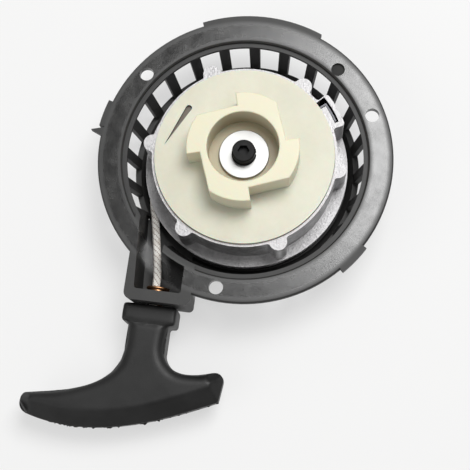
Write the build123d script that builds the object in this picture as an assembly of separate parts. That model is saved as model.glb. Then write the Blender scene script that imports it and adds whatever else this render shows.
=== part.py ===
from build123d import *
import math
import os

os.makedirs("parts", exist_ok=True)

# Recoil starter with a sprung driver, for a small two-stroke engine.
# Millimetres.  The origin is on the reel's axis in the mounting face of the flange.
# +Z points at the engine, and the closed back of the housing is at the bottom.

# Housing bowl and flange
flange_width = 11.8
flange_thickness = 3.5
flange_lip = 1.2
flange_edge_round = 0.7
ledge_width = 1.0
ledge_drop = 1.8
wall_lean = 4.7
wall_thickness = 2.5
wall_step = 0.2
sill_height = 3.0
floor_corner_run = 3.0
floor_thickness = 2.5
back_corner_radius = 4.0

# Vent windows in the bowl's wall
window_pitch = 15.0
window_width_angle = 9.8
window_overcut = 4.0
first_window_angle = 2.6
first_window_index = -5
last_window_index = 13

# Mounting holes and marks in the flange
bolt_circle_inset = 5.45
bolt_hole_radius = 3.4
bolt_count = 3
first_bolt_angle = 17.9
dimple_radius = 3.2
dimple_depth = 1.2
dimple_inset = 3.9
dimple_angle = 43.7
edge_pad_reach = 1.8
edge_pad_root = 2.0
edge_pad_spans = [(58.5, 106.3), (155.5, 166.2), (309.0, 321.4)]
nib_angle = 168.3
nib_reach = 5.3
nib_half_angle = 1.8

# Rope box beside the bowl, in its own frame: across the pull, and back against the pull
exit_side_inset = 5.2
exit_front_inset = 2.7
pull_angle = 7.6
box_left = -12.3
box_right = 19.4
box_front = 1.2
box_back = 46.0
box_draft = 2.5
box_corner_radius = 3.6
pocket_left = -7.8
pocket_left_back = -10.6
pocket_right = 14.4
pocket_front = -4.2
pocket_back = 45.0
pocket_corner_radius = 1.2
rope_opening_right = 3.0

# Rope, and the eyelet that it leaves through
rope_radius = 2.0
rope_gap = 0.15
rope_rim_cover = 0.8
eyelet_offset = 1.2
eyelet_rope_clearance = 0.2
eyelet_wall = 0.8
eyelet_lip = 1.4
eyelet_reach = 4.0
eyelet_flange_thickness = 1.2
eyelet_end_inset = 0.4
rope_bend_distance = 15.0
rope_bend_radius = 40.0
rope_level_run = 24.0
rope_start_gap = 0.3
exit_height = -16.5

# Centre post, its insert, sleeve, washers and screw
boss_radius = 11.0
boss_slot_width = 1.6
boss_slot_depth = 3.0
post_radius = 7.0
post_top = 2.5
insert_radius = 4.5
insert_bottom = -20.0
sleeve_radius = 9.0
sleeve_top = 2.9
washer_overlap = 3.0
washer_thickness = 1.6
washer_edge_chamfer = 0.3
screw_radius = 2.95
screw_bottom = -14.0
screw_hole_radius = 3.1
lock_washer_radius = 5.9
lock_washer_thickness = 1.0
lock_washer_gap_width = 1.2
screw_head_radius = 5.5
screw_head_height = 4.5
screw_socket_flats = 5.0
screw_socket_depth = 3.0
screw_head_chamfer = 0.5

# Reel
reel_rim_radius = 50.1
reel_rim_thickness = 1.2
reel_rim_top = -19.0
groove_side_clearance = 0.3
reel_web_rise = 0.5
reel_web_thickness = 2.0
reel_hub_wall = 3.45
reel_hub_top = -3.0
rim_edge_step = 0.5
spring_pocket_radius = 30.0
least_drum_wall = 3.5
cup_inner_radius = 43.3
cup_wall = 1.2
cup_top = 1.2
lobe_count = 6
first_lobe_angle = 50.5
lobe_radius = 4.2
lobe_offset = 0.45
lobe_blend_radius = 1.6
hook_bulge_reach = 6.0
hook_bulge_span = (17.0, 37.5)
hook_slot_wall = 1.7
hook_slot_width = 2.1
hook_slot_span = (20.0, 37.0)
hook_mouth_span = (32.0, 37.0)
hook_slot_bottom = -15.5

# Springs
main_spring_thickness = 0.5
main_spring_pitch = 2.6
main_spring_margin = 0.6
main_spring_start_gap = 2.2
main_spring_slot_width = 1.2
main_spring_hook_length = 2.6
buffer_spring_thickness = 0.8
buffer_spring_pitch = 4.4
buffer_spring_margin = 0.7
buffer_spring_start_gap = 3.0
buffer_spring_top = -0.7
buffer_spring_bottom = -14.5
buffer_hook_angle = 34.2
buffer_hook_end_angle = 21.5
cover_thickness = 0.6
cover_overlap = 2.6
cover_rivet_radius = 1.2
cover_rivet_count = 3
cover_rivet_angle = 90.0
cover_rivet_height = 2.6
cover_rivet_head_radius = 2.1
cover_rivet_head_thickness = 0.6

# Driver with its four claws
disc_bottom = 0.25
disc_top = 2.75
disc_gap = 0.2
skirt_inner_gap = 0.5
hub_top_clearance = 0.4
skirt_thickness = 2.4
skirt_bottom = -14.5
skirt_slot_width = 2.0
skirt_slot_roof = 1.0
claw_top = 17.2
claw_bore_radius = 16.8
claw_root_radius = 20.2
claw_tip_radius = 26.5
claw_count = 4
claw_face_angle = 7.5
claw_arc_angle = 44.0
claw_pitch_gap_angle = 2.0
disc_slot_wide_radius = 1.5
disc_slot_wide_inset = 7.2
disc_slot_wide_angle = 137.7
disc_slot_tip_inset = 4.4
disc_slot_tip_angle = 171.5
disc_slot_depth = 1.5
claw_edge_round = 0.6

# Handle, in the rope box's frame
handle_thickness = 18.0
handle_rest_gap = 0.3
collar_half_width = 12.9
collar_length = 9.0
collar_corner_radius = 1.5
stem_half_width = 9.6
stem_length = 14.0
grip_edge_radius = 3.5
collar_edge_radius = 1.4
knot_pocket_half_width = 6.2
knot_pocket_front = 18.0
knot_pocket_length = 13.0
knot_pocket_roof = 2.6
knot_radius = 4.2
knot_length = 8.0
knot_washer_radius = 5.6
knot_washer_thickness = 1.0
knot_bite = 1.0
reel_knot_radius = 3.3
reel_knot_flat = 0.3
reel_knot_inset = 1.375
knot_entry_radius = 12.0

# Clearances
running_clearance = 0.05
rest_clearance = 0.1
spring_side_gap = 0.5
rope_bore_clearance = 0.4
reel_side_clearance = 3.2
reel_floor_clearance = 1.3
boss_gap = 0.5
spring_tab_gap = 0.5
joint_overlap = 0.5
overshoot = 1.0


def polar(radius, angle):
    return (radius * math.cos(math.radians(angle)), radius * math.sin(math.radians(angle)))


def box_frame(height=0.0):
    turn = math.radians(pull_angle)
    return Plane(
        origin=(exit_x, exit_y, height), x_dir=(math.cos(turn), -math.sin(turn), 0), z_dir=(0, 0, 1)
    )


def pull_frame(distance, offset=0.0):
    """A plane across the rope, whose normal is the pull direction."""
    turn = math.radians(pull_angle)
    pull = Vector(-math.sin(turn), -math.cos(turn), 0)
    across = Vector(math.cos(turn), -math.sin(turn), 0)
    centre = Vector(exit_x, exit_y, exit_height) + pull * distance + across * offset
    return Plane(origin=centre, x_dir=(math.cos(turn), -math.sin(turn), 0), z_dir=pull)


def disc(radius, bottom, top, bore=0.0):
    outline = Circle(radius)
    if bore > 0:
        outline -= Circle(bore)
    return extrude(Plane.XY.offset(bottom) * outline, amount=top - bottom)


def sector_face(inner, outer, span):
    """A flat area between two radii and two angles."""
    start, end = span
    middle = (start + end) / 2
    edges = [
        Line(polar(inner, start), polar(outer, start)),
        ThreePointArc(polar(outer, start), polar(outer, middle), polar(outer, end)),
        Line(polar(outer, end), polar(inner, end)),
        ThreePointArc(polar(inner, end), polar(inner, middle), polar(inner, start)),
    ]
    return make_face(edges)


def ring_sector(inner, outer, span, bottom, top):
    return extrude(Plane.XY.offset(bottom) * sector_face(inner, outer, span), amount=top - bottom)


def revolve_profile(points):
    return revolve(Plane.XZ * make_face(Polyline(*points, close=True)), Axis.Z)


def spiral_arcs(first_radius, pitch, half_turns, shift=0.0):
    """Half circles that grow by half a pitch each, as a list of edges in the XY plane."""
    arcs = []
    for index in range(half_turns):
        side = 1 if index % 2 == 0 else -1
        centre = -side * pitch / 4
        radius = first_radius + index * pitch / 2 + shift
        start = (centre + side * radius, 0)
        top = (centre, side * radius)
        arcs.append(ThreePointArc(start, top, (centre - side * radius, 0)))
    return arcs


def spiral_end_radius(first_radius, pitch, half_turns):
    """Distance from the axis to the end of the last half circle."""
    return first_radius + (half_turns - 1) * pitch / 2 + pitch / 4


def spiral_strip(first_radius, pitch, half_turns, thickness, bottom, top):
    """A flat strip wound into a spiral, from the X axis outwards."""
    outer = spiral_arcs(first_radius, pitch, half_turns, thickness / 2)
    inner = spiral_arcs(first_radius, pitch, half_turns, -thickness / 2)
    start = Line(inner[0] @ 0, outer[0] @ 0)
    end = Line(outer[-1] @ 1, inner[-1] @ 1)
    return extrude(Plane.XY.offset(bottom) * make_face([start, *outer, end, *inner]), amount=top - bottom)


def write(name, shape):
    export_step(shape, f"parts/{name}.step")


# Places that several pieces share
groove_top = reel_rim_top - reel_rim_thickness
reel_web_bottom = reel_rim_top + reel_web_rise
reel_web_top = reel_web_bottom + reel_web_thickness
rope_height = groove_top - rope_radius - groove_side_clearance
groove_bottom = rope_height - rope_radius - groove_side_clearance
reel_bottom = groove_bottom - reel_rim_thickness
cover_rivet_bottom = reel_bottom - cover_thickness - cover_rivet_head_thickness
floor_depth = reel_floor_clearance - cover_rivet_bottom
floor_bottom = -floor_depth - floor_thickness
sill_depth = floor_depth - sill_height
wall_floor_radius = reel_rim_radius + reel_side_clearance
wall_top_radius = wall_floor_radius + wall_lean
floor_corner_radius = wall_floor_radius - floor_corner_run
wall_mouth_radius = wall_top_radius - wall_step
ledge_radius = wall_top_radius - ledge_width
flange_inner_radius = wall_top_radius + flange_lip
flange_radius = flange_inner_radius + flange_width
edge_pad_radius = flange_radius + edge_pad_reach
nib_tip_radius = flange_radius + nib_reach
bolt_circle_radius = flange_inner_radius + bolt_circle_inset
dimple_place_radius = flange_inner_radius + dimple_inset
exit_x = exit_side_inset - reel_rim_radius
exit_y = exit_front_inset - flange_radius
rope_pitch = 2 * rope_radius + rope_gap
rope_outer_turn_radius = reel_rim_radius - rope_rim_cover - rope_radius
winding_room = rope_outer_turn_radius - rope_radius - rope_gap - spring_pocket_radius - least_drum_wall
rope_half_turns = math.floor(winding_room / (rope_pitch / 2))
rope_first_radius = rope_outer_turn_radius - (rope_half_turns - 1) * rope_pitch / 2 - rope_pitch / 4
drum_radius = rope_first_radius - rope_pitch / 4 - rope_radius - rope_gap
reel_knot_place_radius = drum_radius - reel_knot_inset
cup_outer_radius = cup_inner_radius + cup_wall
lobe_place_radius = cup_outer_radius + lobe_offset
hook_bulge_radius = cup_outer_radius + hook_bulge_reach
hook_slot_inner_radius = cup_outer_radius + hook_slot_wall
hook_slot_outer_radius = hook_slot_inner_radius + hook_slot_width
boss_top = reel_web_bottom - boss_gap
washer_radius = sleeve_radius + washer_overlap
washer_top = sleeve_top + washer_thickness
head_bottom = washer_top + lock_washer_thickness
reel_bore_radius = sleeve_radius + running_clearance
reel_hub_radius = reel_bore_radius + reel_hub_wall
skirt_inner_radius = reel_hub_radius + skirt_inner_gap
skirt_outer_radius = skirt_inner_radius + skirt_thickness
skirt_slot_top = reel_hub_top - skirt_slot_roof
main_spring_room = spring_pocket_radius - main_spring_margin - boss_radius - main_spring_start_gap
main_spring_half_turns = math.floor(main_spring_room / (main_spring_pitch / 2))
buffer_spring_outermost = cup_inner_radius - buffer_spring_margin
buffer_spring_room = buffer_spring_outermost - skirt_outer_radius - buffer_spring_start_gap
buffer_spring_half_turns = math.floor(buffer_spring_room / (buffer_spring_pitch / 2) + 0.5)
claw_pitch = 360 / claw_count
eyelet_bore_radius = rope_radius + abs(eyelet_offset) + eyelet_rope_clearance
eyelet_tube_radius = eyelet_bore_radius + eyelet_wall
eyelet_flange_radius = eyelet_tube_radius + eyelet_lip
exit_face = box_front + exit_height * math.tan(math.radians(box_draft))
eyelet_end = exit_face - eyelet_end_inset
bend_x = exit_x + rope_bend_distance * math.sin(math.radians(pull_angle))
bend_y = exit_y + rope_bend_distance * math.cos(math.radians(pull_angle))
bend_reach = math.degrees(math.acos(rope_outer_turn_radius / math.hypot(bend_x, bend_y)))
leave_angle = math.degrees(math.atan2(bend_y, bend_x)) - bend_reach
coil_turn = leave_angle if rope_half_turns % 2 == 0 else leave_angle + 180
leave_point = polar(rope_outer_turn_radius, leave_angle)
handle_front = box_front + handle_rest_gap
rope_end_distance = knot_pocket_front + knot_washer_thickness + knot_bite
handle_back_height = exit_height - handle_thickness / 2


def bowl_profile():
    """Half section of the bowl, closed below, with the mounting flange on top."""
    outer_top = wall_top_radius + wall_thickness
    outer_floor = wall_floor_radius + wall_thickness
    edge = flange_edge_round
    return make_face(
        [
            Polyline(
                (0, floor_bottom),
                (outer_floor - back_corner_radius, floor_bottom),
                (outer_floor, floor_bottom + back_corner_radius),
                (outer_top, -flange_thickness),
                (flange_radius - edge, -flange_thickness),
                (flange_radius, -flange_thickness + edge),
                (flange_radius, -edge),
                (flange_radius - edge, 0),
                (flange_inner_radius + edge, 0),
                (flange_inner_radius, -edge),
                (flange_inner_radius, -ledge_drop),
                (ledge_radius, -ledge_drop),
                (ledge_radius, -flange_thickness),
                (wall_mouth_radius, -flange_thickness),
                (wall_floor_radius, -sill_depth),
                (floor_corner_radius, -floor_depth),
                (0, -floor_depth),
                (0, floor_bottom),
            )
        ]
    )


def bowl_hollow():
    """The room inside the bowl, without the ledge at its mouth."""
    return revolve_profile(
        [
            (0, -floor_depth),
            (floor_corner_radius, -floor_depth),
            (wall_floor_radius, -sill_depth),
            (wall_mouth_radius, -flange_thickness),
            (wall_mouth_radius, overshoot),
            (0, overshoot),
        ]
    )


def rope_box():
    outline = Rectangle(box_right - box_left, box_back + box_front)
    outline = fillet(outline.vertices(), box_corner_radius)
    place = Pos((box_left + box_right) / 2, (box_back - box_front) / 2)
    return extrude(box_frame() * (place * outline), amount=floor_bottom, taper=box_draft)


def box_room(left_back, right):
    """Room inside the rope box, from its front wall back into the bowl."""
    corners = [
        (pocket_left, -pocket_front),
        (right, -pocket_front),
        (right, pocket_back),
        (left_back, pocket_back),
    ]
    outline = make_face(Polyline(*corners, close=True))
    outline = fillet(outline.vertices(), pocket_corner_radius)
    return extrude(box_frame(-floor_depth) * outline, amount=floor_depth + overshoot)


def rope_pocket():
    """The box's room outside the bowl's wall, and the rope's gap through that wall."""
    bowl_outside = revolve_profile(
        [
            (0, floor_bottom),
            (wall_floor_radius + wall_thickness, -sill_depth),
            (wall_top_radius + wall_thickness, overshoot),
            (0, overshoot),
        ]
    )
    room = box_room(pocket_left_back, pocket_right) - bowl_outside
    gap = box_room(pocket_left_back, rope_opening_right) - disc(floor_corner_radius, floor_bottom, overshoot)
    return room + gap


def flange_edge_pads():
    pads = []
    for span in edge_pad_spans:
        pads.append(ring_sector(flange_radius - edge_pad_root, edge_pad_radius, span, -flange_thickness, 0))
    base = flange_radius - edge_pad_root / 2
    outline = Polyline(
        polar(base, nib_angle - nib_half_angle),
        polar(nib_tip_radius, nib_angle),
        polar(base, nib_angle + nib_half_angle),
        close=True,
    )
    nib_plane = Plane.XY.offset(-flange_thickness)
    pads.append(extrude(nib_plane * make_face(outline), amount=flange_thickness))
    return pads


def window_cutters():
    cutters = []
    for index in range(first_window_index, last_window_index + 1):
        middle = first_window_angle + index * window_pitch
        span = (middle - window_width_angle / 2, middle + window_width_angle / 2)
        inner = wall_floor_radius - window_overcut
        outer = wall_top_radius + wall_thickness + window_overcut / 2
        cutters.append(ring_sector(inner, outer, span, -sill_depth, -flange_thickness))
    return cutters


def make_housing():
    shell = revolve(Plane.XZ * bowl_profile(), Axis.Z)
    ledge_ring = disc(flange_inner_radius, -flange_thickness, -ledge_drop, bore=ledge_radius)
    shell += rope_box() - bowl_hollow()
    shell -= window_cutters()
    shell += ledge_ring
    shell -= rope_pocket()
    shell += flange_edge_pads()
    shell += disc(boss_radius, -floor_depth - overshoot, boss_top)
    shell += disc(post_radius, -floor_depth - overshoot, post_top)
    shell -= disc(insert_radius, insert_bottom, post_top + overshoot)
    slot = Box(boss_slot_depth * 2, boss_slot_width, boss_top + floor_depth + overshoot)
    slot_place = Pos(boss_radius, 0, (boss_top + overshoot - floor_depth) / 2)
    shell -= slot_place * slot
    for index in range(bolt_count):
        angle = first_bolt_angle + index * 360 / bolt_count
        x, y = polar(bolt_circle_radius, angle)
        shell -= Pos(x, y) * disc(bolt_hole_radius, -flange_thickness - overshoot, overshoot)
    x, y = polar(dimple_place_radius, dimple_angle)
    shell -= Pos(x, y) * disc(dimple_radius, -dimple_depth, overshoot)
    wall_hole = Circle(eyelet_tube_radius + running_clearance)
    hole_plane = pull_frame(pocket_front - 2 * overshoot, eyelet_offset)
    shell -= extrude(hole_plane * wall_hole, amount=box_front - pocket_front + 4 * overshoot)
    return shell


def make_eyelet():
    start = pocket_front - eyelet_reach
    length = eyelet_end - start
    plane = pull_frame(start, eyelet_offset)
    flange = extrude(plane * Circle(eyelet_flange_radius), amount=eyelet_flange_thickness)
    flange = fillet(flange.edges(), eyelet_flange_thickness / 2 - running_clearance)
    tube_body = extrude(plane * Circle(eyelet_tube_radius), amount=length)
    bore_plane = pull_frame(start - overshoot, eyelet_offset)
    bore = extrude(bore_plane * Circle(eyelet_bore_radius), amount=length + 2 * overshoot)
    return flange + tube_body - bore


def make_insert():
    return disc(insert_radius, insert_bottom, post_top, bore=screw_radius + running_clearance)


def make_sleeve():
    return disc(sleeve_radius, boss_top, sleeve_top, bore=post_radius + running_clearance)


def make_washer():
    washer = disc(washer_radius, sleeve_top, washer_top, bore=screw_hole_radius)
    return chamfer(washer.edges().group_by(SortBy.LENGTH)[-1], washer_edge_chamfer)


def make_lock_washer():
    washer = disc(lock_washer_radius, washer_top, head_bottom, bore=screw_hole_radius)
    gap = Box(lock_washer_radius * 2, lock_washer_gap_width, 4 * lock_washer_thickness)
    return washer - Pos(lock_washer_radius, 0, washer_top) * gap


def make_screw():
    head_top = head_bottom + screw_head_height
    head = disc(screw_head_radius, head_bottom, head_top)
    head = chamfer(head.edges().group_by(Axis.Z)[-1], screw_head_chamfer)
    socket = RegularPolygon(screw_socket_flats / 2, 6, major_radius=False)
    socket_plane = Plane.XY.offset(head_top - screw_socket_depth)
    head -= extrude(socket_plane * socket, amount=screw_socket_depth + overshoot)
    return head + disc(screw_radius, screw_bottom, head_bottom + joint_overlap)


def entry_path():
    """The rope's way from its knot in the drum out to the first turn."""
    inward = rope_first_radius - rope_pitch / 4 - reel_knot_place_radius
    turn = math.degrees(math.acos(1 - inward / knot_entry_radius))
    start_x = rope_first_radius - rope_pitch / 4
    centre = (start_x - knot_entry_radius, 0)
    ends = []
    for share in (1.0, 0.5, 0.0):
        x, y = polar(knot_entry_radius, -turn * share)
        ends.append((centre[0] + x, y))
    return Plane.XY.offset(rope_height) * ThreePointArc(*ends)


def rope_turns():
    arcs = spiral_arcs(rope_first_radius, rope_pitch, rope_half_turns)
    return [Plane.XY.offset(rope_height) * arc for arc in arcs]


def tube(path, radius):
    wire = Wire(path) if isinstance(path, list) else Wire([path])
    section = Plane(origin=wire @ 0, z_dir=wire % 0) * Circle(radius)
    return sweep(section, path=wire)


def knot_place():
    point = entry_path() @ 0
    return Pos(point.X, point.Y, 0)


def make_rope_coil():
    edges = [entry_path().edge(), *[arc.edge() for arc in rope_turns()]]
    return Rot(0, 0, coil_turn) * tube(edges, rope_radius)


def make_reel_knot():
    width = 2 * reel_knot_radius
    knot = Sphere(reel_knot_radius) & Box(width, width, width - 2 * reel_knot_flat)
    rope = tube([entry_path().edge()], rope_radius)
    shape = knot_place() * Pos(0, 0, rope_height) * knot - rope
    return Rot(0, 0, coil_turn) * shape


def cup_outline():
    """Outside of the cup: a circle with six blended lobes and the hook pocket's bulge."""
    outline = Circle(cup_outer_radius)
    for index in range(lobe_count):
        angle = first_lobe_angle + index * 360 / lobe_count
        outline += Pos(*polar(lobe_place_radius, angle)) * Circle(lobe_radius)
    outline += sector_face(cup_inner_radius, hook_bulge_radius, hook_bulge_span)
    return fillet(outline.vertices(), lobe_blend_radius)


def make_reel():
    body = revolve_profile(
        [
            (reel_bore_radius, reel_web_bottom),
            (spring_pocket_radius, reel_web_bottom),
            (spring_pocket_radius, reel_bottom),
            (reel_rim_radius - rim_edge_step, reel_bottom),
            (reel_rim_radius - rim_edge_step, groove_bottom),
            (drum_radius, groove_bottom),
            (drum_radius, groove_top),
            (reel_rim_radius, groove_top),
            (reel_rim_radius, reel_rim_top),
            (cup_outer_radius, reel_rim_top),
            (cup_outer_radius, cup_top),
            (cup_inner_radius, cup_top),
            (cup_inner_radius, reel_web_top),
            (reel_hub_radius, reel_web_top),
            (reel_hub_radius, reel_hub_top),
            (reel_bore_radius, reel_hub_top),
        ]
    )
    body += extrude(Plane.XY.offset(reel_rim_top) * cup_outline(), amount=cup_top - reel_rim_top)
    body -= disc(cup_inner_radius, reel_web_top, cup_top + overshoot, bore=reel_hub_radius)
    body -= disc(reel_hub_radius + overshoot, reel_hub_top, cup_top + overshoot)
    body -= disc(reel_bore_radius, reel_web_bottom - overshoot, cup_top + overshoot)
    inner = hook_slot_inner_radius
    slot_top = cup_top + overshoot
    mouth_inner = cup_inner_radius - overshoot
    body -= ring_sector(inner, hook_slot_outer_radius, hook_slot_span, hook_slot_bottom, slot_top)
    body -= ring_sector(mouth_inner, inner + joint_overlap, hook_mouth_span, hook_slot_bottom, slot_top)
    slot_height = reel_web_bottom - reel_bottom
    spring_slot = Box(main_spring_hook_length * 2, main_spring_slot_width, slot_height)
    spring_slot_place = Pos(spring_pocket_radius, 0, (reel_web_bottom + reel_bottom) / 2)
    body -= Rot(0, 0, main_spring_end_angle()) * spring_slot_place * spring_slot
    for index in range(cover_rivet_count):
        x, y = cover_rivet_place(index)
        body -= Pos(x, y) * disc(cover_rivet_radius, reel_bottom - overshoot, reel_bottom + cover_rivet_height)
    pocket_bottom = reel_bottom - overshoot
    pocket = disc(reel_knot_radius + rest_clearance, pocket_bottom, rope_height + reel_knot_radius)
    body -= Rot(0, 0, coil_turn) * knot_place() * pocket
    body -= Rot(0, 0, coil_turn) * tube([entry_path().edge()], rope_radius + rest_clearance)
    return body


def cover_rivet_place(index):
    place_radius = spring_pocket_radius + cover_overlap / 2
    return polar(place_radius, cover_rivet_angle + index * 360 / cover_rivet_count)


def main_spring_first_radius():
    outermost = spring_pocket_radius - main_spring_margin
    return outermost - main_spring_half_turns * main_spring_pitch / 2


def main_spring_end_angle():
    return 0 if main_spring_half_turns % 2 == 0 else 180


def make_main_spring():
    first = main_spring_first_radius()
    bottom = reel_bottom + main_spring_margin
    top = reel_web_bottom - main_spring_margin
    turns = spiral_strip(first, main_spring_pitch, main_spring_half_turns, main_spring_thickness, bottom, top)
    end = spiral_end_radius(first, main_spring_pitch, main_spring_half_turns)
    tab = Box(main_spring_hook_length, main_spring_thickness, top - bottom)
    tab_place = Pos(end + main_spring_hook_length / 2 - 0.2, 0, (top + bottom) / 2)
    shape = turns + Rot(0, 0, main_spring_end_angle()) * tab_place * tab
    start = first - main_spring_pitch / 4
    inner_end = boss_radius - boss_slot_depth + spring_tab_gap
    inner_tab = Box(start - inner_end, main_spring_thickness, top - bottom)
    shape += Pos((start + inner_end) / 2, 0, (top + bottom) / 2) * inner_tab
    return shape


def make_spring_cover():
    radius = spring_pocket_radius + cover_overlap
    cover = disc(radius, reel_bottom - cover_thickness, reel_bottom, bore=boss_radius + overshoot)
    notch_bottom = reel_bottom - 2 * overshoot
    notch = disc(reel_knot_radius + overshoot, notch_bottom, reel_bottom + overshoot)
    cover -= Rot(0, 0, coil_turn) * knot_place() * notch
    for index in range(cover_rivet_count):
        x, y = cover_rivet_place(index)
        cover -= Pos(x, y) * disc(cover_rivet_radius, notch_bottom, reel_bottom + overshoot)
    return cover


def make_cover_rivet(index):
    x, y = cover_rivet_place(index)
    pin = disc(cover_rivet_radius, reel_bottom - cover_thickness, reel_bottom + cover_rivet_height)
    head = disc(cover_rivet_head_radius, cover_rivet_bottom, reel_bottom - cover_thickness)
    return Pos(x, y) * (pin + head)


def buffer_spring_first_radius():
    growth = (buffer_spring_half_turns - 1) * buffer_spring_pitch / 2 + buffer_spring_pitch / 4
    return buffer_spring_outermost - growth


def buffer_spring_turn():
    """Turn that brings the spiral's outer end to the hook pocket."""
    end_side = 0 if buffer_spring_half_turns % 2 == 0 else 180
    return buffer_hook_angle - end_side


def make_buffer_spring():
    first = buffer_spring_first_radius()
    bottom = buffer_spring_bottom
    top = buffer_spring_top
    thick = buffer_spring_thickness
    turns = spiral_strip(first, buffer_spring_pitch, buffer_spring_half_turns, thick, bottom, top)
    shape = Rot(0, 0, buffer_spring_turn()) * turns
    end = spiral_end_radius(first, buffer_spring_pitch, buffer_spring_half_turns)
    hook_radius = (hook_slot_inner_radius + hook_slot_outer_radius) / 2
    leg = Box(hook_radius - end + thick, thick, top - bottom)
    leg_place = Pos((hook_radius + end) / 2, -thick / 2, (top + bottom) / 2)
    shape += Rot(0, 0, buffer_hook_angle) * leg_place * leg
    span = (buffer_hook_end_angle, buffer_hook_angle)
    shape += ring_sector(hook_radius - thick / 2, hook_radius + thick / 2, span, bottom, top)
    start = first - buffer_spring_pitch / 4
    inner_end = skirt_inner_radius + spring_tab_gap
    leg_top = skirt_slot_top - spring_side_gap
    inner_leg = Box(start - inner_end, thick, leg_top - bottom)
    inner_place = Pos((start + inner_end) / 2, 0, (leg_top + bottom) / 2)
    shape += Rot(0, 0, buffer_spring_turn()) * inner_place * inner_leg
    return shape


def claw_outline():
    """Outside of the claw ring: saw teeth whose driving faces point anticlockwise."""
    edges = []
    for index in range(claw_count):
        face = claw_face_angle + index * claw_pitch
        arc_end = face - claw_arc_angle
        root = face - claw_pitch + claw_pitch_gap_angle
        next_face = face - claw_pitch
        outer = claw_tip_radius
        edges.append(Line(polar(claw_root_radius, face), polar(outer, face)))
        edges.append(
            ThreePointArc(polar(outer, face), polar(outer, face - claw_arc_angle / 2), polar(outer, arc_end))
        )
        edges.append(Line(polar(outer, arc_end), polar(claw_root_radius, root)))
        middle = (root + next_face) / 2
        edges.append(
            ThreePointArc(
                polar(claw_root_radius, root),
                polar(claw_root_radius, middle),
                polar(claw_root_radius, next_face),
            )
        )
    return make_face(edges)


def disc_slot_outline():
    """A tapered slot: round at its wide end, drawn out to a point at the other."""
    wide = polar(cup_inner_radius - disc_slot_wide_inset, disc_slot_wide_angle)
    tip = polar(cup_inner_radius - disc_slot_tip_inset, disc_slot_tip_angle)
    run = math.degrees(math.atan2(tip[1] - wide[1], tip[0] - wide[0]))
    reach = math.degrees(math.acos(disc_slot_wide_radius / math.dist(wide, tip)))
    round_points = []
    for angle in (run + reach, run + 180, run - reach):
        x, y = polar(disc_slot_wide_radius, angle)
        round_points.append((wide[0] + x, wide[1] + y))
    edges = [
        ThreePointArc(*round_points),
        Line(round_points[2], tip),
        Line(tip, round_points[0]),
    ]
    return make_face(edges)


def make_driver():
    body = disc(cup_inner_radius - disc_gap, disc_bottom, disc_top)
    claws = extrude(Plane.XY.offset(disc_bottom) * claw_outline(), amount=claw_top - disc_bottom)
    claws -= disc(claw_bore_radius, disc_top, claw_top + overshoot)
    claws = fillet(claws.faces().sort_by(Axis.Z)[-1].edges(), claw_edge_round)
    body += claws
    body += disc(skirt_outer_radius, skirt_bottom, disc_bottom + joint_overlap)
    body -= disc(skirt_inner_radius, skirt_bottom - overshoot, reel_hub_top + hub_top_clearance)
    body -= disc(reel_bore_radius, skirt_bottom - overshoot, disc_top + overshoot)
    slot = Plane.XY.offset(disc_top - disc_slot_depth) * disc_slot_outline()
    body -= extrude(slot, amount=disc_slot_depth + overshoot)
    slot_bottom = skirt_bottom - overshoot
    skirt_slot = Box(4 * skirt_thickness, skirt_slot_width, skirt_slot_top - slot_bottom)
    slot_place = Pos(skirt_outer_radius, 0, (skirt_slot_top + slot_bottom) / 2)
    body -= Rot(0, 0, buffer_spring_turn()) * slot_place * skirt_slot
    return body


def make_rope_run_inner():
    """Level off the reel past its rim, then up to the eyelet and out along the pull."""
    leave = Vector(leave_point[0], leave_point[1], rope_height)
    corner = Vector(bend_x, bend_y, exit_height)
    level = Vector(bend_x - leave.X, bend_y - leave.Y, 0).normalized()
    start = leave + level * rope_start_gap
    rise = leave + level * rope_level_run
    end = pull_frame(eyelet_end).origin
    path = FilletPolyline(start, rise, corner, end, radius=rope_bend_radius)
    return tube([edge for edge in path.edges()], rope_radius)


def make_rope_run_outer():
    return extrude(pull_frame(eyelet_end) * Circle(rope_radius), amount=rope_end_distance - eyelet_end)


def grip_outline():
    """Slanted T grip on its stem, in the rope box's frame with the pull direction as -Y."""
    collar_end = handle_front + collar_length
    stem_end = collar_end + stem_length
    stem = stem_half_width
    left_side = Spline((-stem, -stem_end), (-14.5, -35.5), (-32.5, -45.3), (-54.5, -49.8))
    left_end = ThreePointArc((-54.5, -49.8), (-55.6, -53.0), (-50.5, -59.5))
    outer_side = Spline((-50.5, -59.5), (-34.6, -62.0), (-15.5, -61.0), (7.4, -55.3), (37.6, -42.6))
    right_end = Line((37.6, -42.6), (38.7, -33.5))
    right_corner = ThreePointArc((38.7, -33.5), (37.6, -30.2), (34.5, -29.1))
    right_side = Spline((34.5, -29.1), (26.0, -31.4), (16.0, -31.0), (stem, -stem_end))
    stem_start = collar_end - overshoot
    stem_right = Line((stem, -stem_end), (stem, -stem_start))
    stem_top = Line((stem, -stem_start), (-stem, -stem_start))
    stem_left = Line((-stem, -stem_start), (-stem, -stem_end))
    return make_face(
        [left_side, left_end, outer_side, right_end, right_corner, right_side, stem_right, stem_top, stem_left]
    )


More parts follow.
